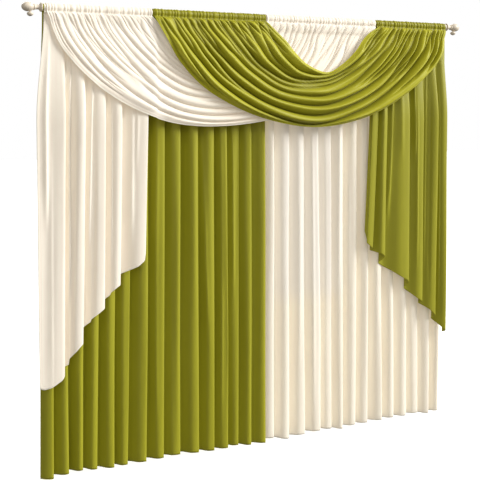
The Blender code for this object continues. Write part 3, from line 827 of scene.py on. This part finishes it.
def hung_grid(cloth, sizes, room=None):
    """Points of a hung cloth, its flat coordinates, and its marks: the distance to its hem and two shades.

    A cosine swings the cloth about a plane that leaves the rod, and a share of its double broadens the
    crests. The crests lean to the right, the swing opens with the drop, small folds stand on it, and finer
    gathers fade below the stitching. The rows are closest under the stitching and at the hem.
    """
    at, top, hem, depth, length = np.array(cloth.folds).T
    count = np.linspace(at[0], at[-1], round((at[-1] - at[0]) * cloth.columns) + 1)[None, :]
    turn = TAU * count
    heading = np.interp(count, at, top)
    lengths = np.interp(count, at, length)
    even = np.linspace(0.0, 1.0, cloth.rows)
    share = spaced(0.10 + ease(even / 0.4) - 0.65 * ease((even - 0.90) / 0.10))
    down = STITCH_DROP + (lengths - STITCH_DROP) * share
    wide = opened(down)
    x = heading * (1 - share) + np.interp(count, at, hem) * share
    pitch = np.gradient(x, count[0], axis=1)
    x = x + pitch * wide * (cloth.lean * (np.cos(turn) - 1) + FOLD_SKEW * np.sin(2 * turn))
    x = x + SIDE_WANDER * wide * ripple(count / 1.7, down / 1.6, cloth.seed)
    swing = cloth.fold * np.interp(count, at, depth) * (CLOSED_FOLD + (1 - CLOSED_FOLD) * wide)
    swing = swing * (1 + FOLD_UNEVEN * ripple(count / 2.3, down / 1.4, cloth.seed + 1))
    wave = np.cos(turn) + cloth.crest * (1 - np.cos(2 * turn))
    y = -cloth.start - cloth.out * wide + cloth.back * wide - swing * wave
    y = y - DEPTH_WANDER * wide * ripple(count * 1.5, down / 2.4, cloth.seed + 2)
    y = y - (CLOSED_RIDGE + (1 - CLOSED_RIDGE) * wide) * ridge_height(cloth.ridges, count, down)
    below = down - STITCH_DROP
    fine = puckers(heading, sizes.pucker_pitch, cloth.seed + 3)
    gathers = sizes.pucker_height * pinched(below) * np.exp(-below / HUNG_FADE) * fine
    gathers = gathers + gathered(HUNG_GATHERS, below, heading, sizes.pucker_pitch, cloth.seed)
    y = y - cloth.gather * gathers
    if room is not None:
        y = laid_over(x, y, down, room, LAYER_GAP)
    hung = np.stack(np.broadcast_arrays(x, y, -down), axis=2)
    pocket = pocket_section(cloth.radius, -cloth.start, cloth.back > 0, cloth.pocket_rows)
    hidden = ease(1.0 + pocket.before / 0.05)[:, None]
    lift = sizes.pucker_height * pinched(pocket.before)[:, None] * fine
    lift = lift * (HIDDEN_GATHER * hidden + BACK_GATHER * (1 - hidden))
    points = np.concatenate([over_rod(pocket, heading, lift), hung], axis=0)
    across = walked_along(points, 1)[cloth.pocket_rows + cloth.rows // 2]
    along = np.concatenate([np.broadcast_to(pocket.before[:, None], lift.shape), below], axis=0)
    flat = np.stack(np.broadcast_arrays(across[None, :], along), axis=2)
    side = np.minimum(across, across[-1] - across)[None, :]
    no_hem = np.full(lift.shape, np.inf)
    edge = np.minimum(np.concatenate([no_hem, lengths - down], axis=0), side)
    # Painted shade in the valleys of the gathers below the stitching, kept in the 'crease' mark.
    shade = gather_shade(np.abs(along), fine)
    return points, flat, {"hem": edge, "crease": shade, "backlit": backlit_share(points)}


def by_heading(a, values):
    """Values at the first heading, the middle and the last heading, with straight lines between."""
    return np.interp(a, (0.0, 0.5, 1.0), values)


def fold_height(cloth, along, width, a, b):
    """Height of a swag's folds from 0 to 1: the product, over the creases, of one less a rounded trough.

    The troughs near the scoop are narrower at its foot.
    """
    height = 1.0
    foot = FOOT_NARROWING * np.exp(-((a - 0.5) / FOOT_SPREAD) ** 2)
    for crease in cloth.creases:
        missing = len(along) - len(crease.places)
        padding = (0, missing) if crease.first < 0 else (missing, 0)
        place = curve_through(a, along, np.pad(crease.places, padding, mode="edge"))
        reach = crease.breadth * width * (1 - foot * (1 - ease(place / FOOT_REACH)))
        strength = by_heading(a, (crease.left, crease.middle, crease.right))
        strength = strength * ease((a - crease.first) / CREASE_END) * ease((crease.last - a) / CREASE_END)
        height = height * (1 - strength * np.exp(-(np.abs(b - place) / reach) ** TROUGH_POWER))
    return height


def short_creases(number, seed):
    """A seeded scatter of narrow creases that run a little way down from both headings."""
    random = np.random.default_rng(seed)
    rows = []
    for first, last, sign in ((-0.1, 0.0, 1), (1.0, 1.1, -1)):
        place = (np.arange(number) + random.uniform(0.2, 0.8, number)) / number
        reach = random.uniform(0.14, 0.34, number)
        strength = random.uniform(0.45, 0.90, number)
        for at, far, deep in zip(place, reach, strength):
            ends = (first, last + far) if sign > 0 else (first - far, last)
            rows.append(Crease(*ends, SHORT_BREADTH, deep, deep, deep, (at,)))
    return tuple(rows)


def draped_grid(cloth, sizes, room):
    """Points of a swag, its flat coordinates, and its marks: the distance to its two hems and its shade.

    Two cubic curves give the scoop and the hem. The folds stand between creases, less high at both edges,
    and are pushed aside in proportion to their slope, so that they lap over. Near each heading finer
    gathers stand on them. The shade is painted: the depth below the folds' tops, to a power. The rows are
    closest at the headings.
    """
    along, inner_x, inner_drop, outer_x, outer_drop = np.array(cloth.stations).T
    b = np.linspace(0, 1, cloth.columns + 1)[None, :]
    a = spaced(0.10 + np.sin(np.pi * np.linspace(0, 1, cloth.rows)) ** 1.3)
    settle = inside(a, 6)
    b = b + CREASE_WANDER * settle * ripple(b * 4.0, a * 2.0, cloth.seed + 5) * inside(b, 8)
    width = np.interp(a, np.linspace(0, 1, 5), cloth.widths)
    standing = fold_height(cloth, along, width, a, b)
    folds = standing * (EDGE_FOLD + (1 - EDGE_FOLD) * ease(np.minimum(b, 1 - b) / EDGE_BREADTH))
    slope = np.gradient(folds, axis=1) / np.gradient(b, axis=1)
    placed = b - by_heading(a, cloth.laps) * width ** 2 * settle * slope * inside(b, 12)
    x, down = (curve_through(a, along, inner) * (1 - placed) + curve_through(a, along, outer) * placed
               for inner, outer in ((inner_x, outer_x), (inner_drop, outer_drop)))
    folded = ease((down - STITCH_DROP) / SWAG_FOLD_OPEN)
    start = cloth.start + cloth.out * opened(down) + cloth.gap * ease((down - STITCH_DROP) / SWAG_GAP_OPEN)
    start = -laid_over(x, -start, down, room, LAYER_GAP)
    walked = walked_along(np.stack(np.broadcast_arrays(x, -start, -down), axis=2), 0)
    total = walked[-1:]
    sewn = (1 - np.exp(-walked / SEWN_RISE)) * (1 - np.exp(-(total - walked) / SEWN_RISE))
    depth = sizes.swag_fold * by_heading(a, cloth.depths) * sewn * folds
    depth = depth * (CLOSED_SWAG_FOLD + (1 - CLOSED_SWAG_FOLD) * folded)
    depth = depth * (1 + SWAG_UNEVEN * ripple(b * 5.0, a * 1.6, cloth.seed + 3))
    gathers = 0.0
    unshaded = standing
    pocket = pocket_section(SWAG_RADIUS, -cloth.start, False, cloth.pocket_rows)
    ends, shades = [], []
    for row, far, seed in ((0, walked, cloth.seed), (-1, total - walked, cloth.seed + 9)):
        fine = puckers(x[row], sizes.pucker_pitch, seed)
        gathers = gathers + sizes.pucker_height * pinched(far) * np.exp(-far / DRAPED_FADE) * fine
        gathers = gathers + cloth.gather * gathered(DRAPED_GATHERS, far, x[row], sizes.pucker_pitch, seed)
        unshaded = unshaded * (1 - gather_shade(far, fine))
        lift = SWAG_GATHER * sizes.pucker_height * pinched(pocket.before)[:, None] * fine
        ends.append(over_rod(pocket, x[row], lift))
        # Painted shade in the valleys of the pocket's gathers.
        shades.append(cloth.gather * (1 - SWAG_POCKET_SHADE * np.clip(fine + 0 * lift, 0.0, 1.0)))
    uneven = SWAG_WANDER * folded * (1 + ripple(b * 6.0, a * 2.0, cloth.seed + 4))
    draped = np.stack(np.broadcast_arrays(x, -start - depth - gathers - uneven, -down), axis=2)
    points = np.concatenate([ends[0], draped, ends[1][::-1]], axis=0)
    across = walked_along(points, 1)[len(points) // 2]
    past = [np.broadcast_to(end[:, None], ends[0].shape[:2])
            for end in (pocket.before, (total.mean() - pocket.before)[::-1])]
    lengthways = np.concatenate([past[0], walked, past[1]], axis=0)
    side = np.broadcast_to(np.minimum(across, across[-1] - across), lengthways.shape)
    # Painted shade: the depth below the folds' tops and in the gathers' valleys, to a power, kept in the
    # 'crease' mark.
    shade = np.concatenate([shades[0], (1 - unshaded) ** by_heading(a, cloth.thin), shades[1][::-1]], axis=0)
    flat = np.stack(np.broadcast_arrays(across[None, :], lengthways), axis=2)
    return points, flat, {"hem": side, "crease": shade}


def added(name, data):
    """Adds an object with the given data to the scene."""
    made = bpy.data.objects.new(name, data)
    bpy.context.scene.collection.objects.link(made)
    return made


def smooth_object(name, points, faces, material):
    """Adds a smooth mesh of one material, from its points and its faces."""
    mesh = bpy.data.meshes.new(name)
    mesh.from_pydata(points.tolist(), [], faces)
    mesh.shade_smooth()
    mesh.materials.append(material)
    return added(name, mesh)


def sheet_object(name, grid, material, thickness):
    """A mesh sheet from a grid of points, with its flat coordinates as UV and its marks as attributes."""
    points, flat, marks = grid
    rows, columns = points.shape[:2]
    index = np.arange(rows * columns).reshape(rows, columns)
    faces = np.stack([index[:-1, :-1], index[1:, :-1], index[1:, 1:], index[:-1, 1:]], axis=2).reshape(-1, 4)
    made = smooth_object(name, points.reshape(-1, 3), faces.tolist(), material)
    cut = made.data.uv_layers.new(name="Flat")
    cut.data.foreach_set("uv", flat.reshape(-1, 2)[faces.ravel()].ravel())
    for mark, values in marks.items():
        attribute = made.data.attributes.new(mark, "FLOAT", "POINT")
        attribute.data.foreach_set("value", values.ravel().astype(np.float32))
    solid = made.modifiers.new("Thickness", "SOLIDIFY")
    solid.thickness = thickness
    solid.offset = 0.0
    return made


def revolve(name, profile, sides, place, axis, material):
    """A turned solid: a profile of (radius, height) carried round its axis, from pole to pole."""
    radius, height = np.array(profile[1:-1]).T
    angle = np.linspace(0, TAU, sides, endpoint=False)
    ring = np.stack([np.outer(radius, np.cos(angle)), np.outer(radius, np.sin(angle)),
                     np.broadcast_to(height[:, None], (len(radius), sides))], axis=2).reshape(-1, 3)
    points = np.concatenate([ring, [(0, 0, profile[0][1]), (0, 0, profile[-1][1])]])
    index = np.arange(len(radius) * sides).reshape(len(radius), sides)
    turned = np.roll(index, -1, axis=1)
    quads = np.stack([index[:-1], index[1:], turned[1:], turned[:-1]], axis=2).reshape(-1, 4).tolist()
    poles = ((len(ring), index[0], turned[0]), (len(ring) + 1, turned[-1], index[-1]))
    fans = [np.stack([np.full(sides, pole), one, other], axis=1).tolist() for pole, one, other in poles]
    turn = np.array(Euler(axis).to_matrix())
    return smooth_object(name, points @ turn.T + np.array(place), quads + fans[0] + fans[1], material)


def dress(context, cloth, grid, material):
    piece = sheet_object(cloth.name + "_cloth", grid, material, context.scene.curtain_sizes.thickness)
    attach(piece, "root")
    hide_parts(cloth.name)
    return piece


class CURTAIN_OT_panels(bpy.types.Operator):
    """Adds the two floor-length panels with their pockets round the rod"""

    bl_idname = "curtain.panels"
    bl_label = "Panels"

    def execute(self, context):
        sizes, colours = context.scene.curtain_sizes, context.scene.curtain_colours
        shared = dict(radius=PANEL_RADIUS, start=0.0, out=0.0, back=0.017, fold=sizes.panel_fold, lean=0.13,
                      crest=0.15, gather=0.20, columns=20, rows=103, pocket_rows=22)
        strays = dict(reach=2.45, number=34, size=0.008)
        green = Hung(name="green_panel", folds=GREEN_PANEL_FOLDS, seed=11,
                     ridges=list(GREEN_PANEL_RIDGES) + stray_ridges(folds=14, seed=17, **strays), **shared)
        cream = Hung(name="cream_panel", folds=CREAM_PANEL_FOLDS, seed=31,
                     ridges=list(CREAM_PANEL_RIDGES) + stray_ridges(folds=13, seed=37, **strays), **shared)
        opaque = cloth_material(
            "Green panel cloth", colours.green, GREEN_HUNG, deepened(colours.green, GREEN_CREASE_SHADE))
        sheer = cloth_material(
            "Cream sheer cloth", colours.sheer, CREAM_SHEER, tinted(colours.sheer, CREAM_CREASE_SHADE),
            BACKLIT_COLOUR)
        piece = dress(context, green, hung_grid(green, sizes), opaque)
        piece = dress(context, cream, hung_grid(cream, sizes), sheer)
        return {"FINISHED"}


class CURTAIN_OT_tails(bpy.types.Operator):
    """Adds the two stepped side tails, which are sewn over the panels' pockets"""

    bl_idname = "curtain.tails"
    bl_label = "Tails"

    def execute(self, context):
        sizes, colours = context.scene.curtain_sizes, context.scene.curtain_colours
        shared = dict(radius=TAIL_RADIUS, start=0.0072, out=0.038, back=0.0, fold=sizes.tail_fold, lean=0.17,
                      crest=0.10, gather=0.25, columns=46, rows=120, pocket_rows=14)
        cream = Hung(name="cream_tail", folds=CREAM_TAIL_FOLDS, ridges=CREAM_TAIL_RIDGES, seed=51, **shared)
        green = Hung(name="green_tail", folds=GREEN_TAIL_FOLDS, ridges=GREEN_TAIL_RIDGES, seed=71, **shared)
        room = nearest_room(("green_panel_cloth", "cream_panel_cloth"), 2)
        pale = cloth_material(
            "Cream tail cloth", colours.cream, CREAM_HUNG, tinted(colours.cream, CREAM_CREASE_SHADE))
        leaf = cloth_material(
            "Green tail cloth", colours.green, GREEN_HUNG, deepened(colours.green, GREEN_CREASE_SHADE))
        piece = dress(context, cream, hung_grid(cream, sizes, room), pale)
        piece = dress(context, green, hung_grid(green, sizes, room), leaf)
        return {"FINISHED"}


class CURTAIN_OT_swags(bpy.types.Operator):
    """Adds the two crossing swags, which are sewn over the pockets at two headings each"""

    bl_idname = "curtain.swags"
    bl_label = "Swags"

    def execute(self, context):
        sizes, colours = context.scene.curtain_sizes, context.scene.curtain_colours
        shared = dict(columns=290, rows=128, pocket_rows=14)
        cream = Draped(
            name="cream_swag", stations=CREAM_SWAG_STATIONS,
            creases=CREAM_SWAG_CREASES + short_creases(20, 191),
            start=0.0105, out=0.036, gap=0.0, gather=0.35, depths=(0.36, 0.56, 0.36), thin=(1.4, 1.4, 1.4),
            laps=(0.20, 0.20, 0.30), widths=(0.009, 0.010, 0.024, 0.024, 0.016), seed=91, **shared)
        green = Draped(
            name="green_swag", stations=GREEN_SWAG_STATIONS,
            creases=GREEN_SWAG_CREASES + short_creases(19, 231),
            start=0.0140, out=0.028, gap=0.032, gather=1.0, depths=(1.00, 1.05, 1.50), thin=(1.5, 0.85, 2.4),
            laps=(0.30, 0.20, -0.10), widths=(0.020, 0.028, 0.048, 0.032, 0.022), seed=131, **shared)
        pale = cloth_material(
            "Cream swag cloth", colours.cream, CREAM_DRAPED, tinted(colours.cream, CREAM_SWAG_CREASE_SHADE))
        # Painted light: the swag's green is the same green cloth's colour, made lighter.
        leaf = cloth_material(
            "Green swag cloth", tinted(colours.green, GREEN_SWAG_PAINTED_LIGHT)[:3], GREEN_DRAPED,
            deepened(colours.green, GREEN_CREASE_SHADE))
        beneath = ["green_panel_cloth", "cream_panel_cloth", "green_tail_cloth", "cream_tail_cloth"]
        grid = draped_grid(cream, sizes, nearest_room(beneath, 10))
        piece = dress(context, cream, grid, pale)
        grid = draped_grid(green, sizes, nearest_room(beneath + ["cream_swag_cloth"], 12))
        piece = dress(context, green, grid, leaf)
        return {"FINISHED"}


class CURTAIN_OT_woodwork(bpy.types.Operator):
    """Adds the turned finials and their drops, and finishes the rod"""

    bl_idname = "curtain.woodwork"
    bl_label = "Woodwork"

    def execute(self, context):
        wood = wood_material("Washed wood", context.scene.curtain_colours.wood)
        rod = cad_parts["rod"]
        rod.data.materials.clear()
        rod.data.materials.append(wood)
        arc = np.linspace(0.0, BALL_ARC, 40)
        ball = [(BALL_RADIUS * math.sin(t), BALL_MIDDLE + BALL_LENGTH * math.cos(t)) for t in arc]
        socket = [(SOCKET_RADIUS, 0.0), (SOCKET_RADIUS, SOCKET_DEPTH), (0.0, SOCKET_DEPTH)]
        for side, sign in (("left", -1), ("right", 1)):
            finial = revolve(f"finial_{side}_turned", [*ball, *NECK, *socket], 64,
                             (sign * FINIAL_FACE, 0.0, 0.0), (0.0, sign * math.pi / 2, 0.0), wood)
            drop = revolve(f"drop_{side}_turned", ACORN, 48,
                           (sign * (FINIAL_FACE + DROP_OUT), 0.0, -DROP_TOP), (0.0, 0.0, 0.0), wood)
            for piece, node in ((finial, f"finial_{side}"), (drop, f"drop_{side}")):
                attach(piece, "root")
                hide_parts(node)
        return {"FINISHED"}


class CURTAIN_OT_studio(bpy.types.Operator):
    """Adds the floor, the soft lights and the camera"""

    bl_idname = "curtain.studio"
    bl_label = "Studio"

    def soft_light(self, name, strength, spread, towards):
        """A broad, distant light, with its spread in degrees, that stands in the given direction."""
        light = bpy.data.lights.new(name, "SUN")
        light.energy = strength
        light.angle = math.radians(spread)
        added(name, light).rotation_euler = Vector(towards).to_track_quat("Z", "Y").to_euler()

    def pale_floor(self):
        """White where the camera sees it, and a dim grey for the light that it throws back."""
        recipe = Recipe(bpy.data.materials.new("Pale floor"))
        seen = recipe.node("ShaderNodeBsdfPrincipled", None, {
            "Base Color": FLOOR_SEEN, "Roughness": 0.9, "Emission Color": WHITE, "Emission Strength": 0.45})
        lit = recipe.node("ShaderNodeBsdfDiffuse", None, {"Color": FLOOR_LIT})
        straight = recipe.node("ShaderNodeLightPath")
        return recipe.finish(recipe.node("ShaderNodeMixShader", None, {0: straight, 1: lit, 2: seen}))

    def pale_world(self, ambient):
        """White where the camera sees it, and warm and dim for the light that it gives."""
        recipe = Recipe(bpy.data.worlds.new("Studio"))
        seen = recipe.node("ShaderNodeBackground", None, {"Color": WHITE, "Strength": 1.0})
        lit = recipe.node("ShaderNodeBackground", None, {"Color": WARM, "Strength": ambient})
        straight = recipe.node("ShaderNodeLightPath")
        mixed = recipe.node("ShaderNodeMixShader", None, {0: straight, 1: lit, 2: seen})
        return recipe.finish(mixed, "ShaderNodeOutputWorld")

    def execute(self, context):
        scene, studio = context.scene, context.scene.curtain_studio
        signs = ((-1, -1), (1, -1), (1, 1), (-1, 1))
        corners = [(x * FLOOR_REACH, y * FLOOR_REACH, FLOOR_LEVEL) for x, y in signs]
        mesh = bpy.data.meshes.new("Floor")
        mesh.from_pydata(corners, [], [(0, 1, 2, 3)])
        mesh.materials.append(self.pale_floor())
        floor = added("Floor", mesh)
        scene.world = self.pale_world(studio.ambient)
        for name, key, spread, towards in LIGHTS:
            self.soft_light(name, getattr(studio, key), spread, towards)
        camera = added("Camera", bpy.data.cameras.new("Camera"))
        camera.location = CAMERA_PLACE
        camera.rotation_euler = CAMERA_TURN
        camera.data.lens = CAMERA_LENS
        camera.data.shift_y = CAMERA_SHIFT
        scene.camera = camera
        scene.view_settings.view_transform = "Standard"
        return {"FINISHED"}


class CURTAIN_PT_panel(bpy.types.Panel):
    """Lists the steps that build the curtains"""

    bl_idname = "CURTAIN_PT_panel"
    bl_label = "Curtains"
    bl_space_type = "VIEW_3D"
    bl_region_type = "UI"
    bl_category = "Curtains"

    def draw(self, context):
        for operator in OPERATORS:
            self.layout.operator(operator.bl_idname)
        for group in ("curtain_sizes", "curtain_colours", "curtain_studio"):
            settings = getattr(context.scene, group)
            for key in settings.__annotations__:
                self.layout.prop(settings, key)


OPERATORS = (CURTAIN_OT_studio, CURTAIN_OT_woodwork, CURTAIN_OT_panels, CURTAIN_OT_tails, CURTAIN_OT_swags)
GROUPS = {"curtain_sizes": CurtainSizes, "curtain_colours": CurtainColours, "curtain_studio": StudioSettings}


def register():
    """Registers the settings, the operators and the panel."""
    for group in GROUPS.values():
        bpy.utils.register_class(group)
    for key, group in GROUPS.items():
        setattr(bpy.types.Scene, key, PointerProperty(type=group))
    for each in (*OPERATORS, CURTAIN_PT_panel):
        bpy.utils.register_class(each)


def unregister():
    """Removes what register added."""
    for each in (CURTAIN_PT_panel, *OPERATORS[::-1]):
        bpy.utils.unregister_class(each)
    for key, group in GROUPS.items():
        delattr(bpy.types.Scene, key)
        bpy.utils.unregister_class(group)


def main():
    """Builds the scene step by step."""
    register()
    bpy.ops.curtain.studio()
    bpy.ops.curtain.woodwork()
    bpy.ops.curtain.panels()
    bpy.ops.curtain.tails()
    bpy.ops.curtain.swags()


if __name__ == "__main__":
    main()
